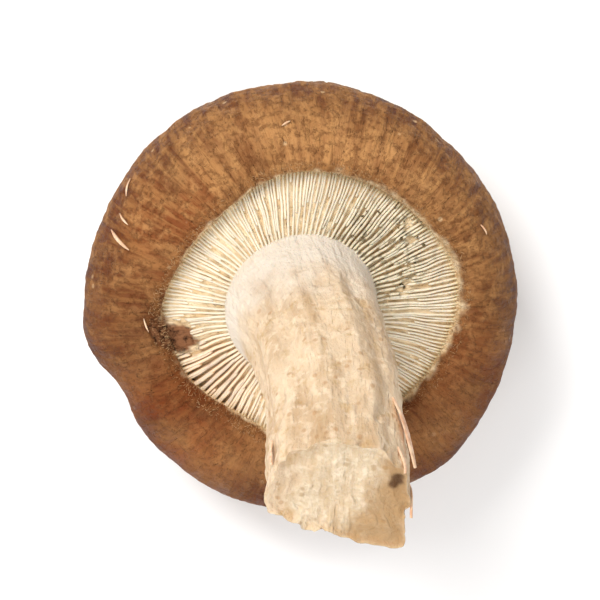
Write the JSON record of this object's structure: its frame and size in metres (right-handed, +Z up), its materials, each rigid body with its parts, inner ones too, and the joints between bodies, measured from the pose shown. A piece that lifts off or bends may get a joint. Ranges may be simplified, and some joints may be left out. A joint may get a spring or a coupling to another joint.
{
  "type": "shiitake mushroom",
  "caption": "Fresh shiitake mushroom lying gills up on its fissured brown cap, with pale gills inside a rolled margin and a stout bent stem cut off at its end.",
  "frame": {"origin": "on the surface the mushroom lies on, under the middle of its bounding box", "axes": "+Z up, -Y the way the stem leans and the cap tips, +X to the right of someone who faces the stem's cut end"},
  "size_m": [0.06, 0.0651, 0.0631],
  "materials": {
    "flesh": null
  },
  "bodies": {
    "root": {"shiitake": "flesh"}
  },
  "joints": []
}
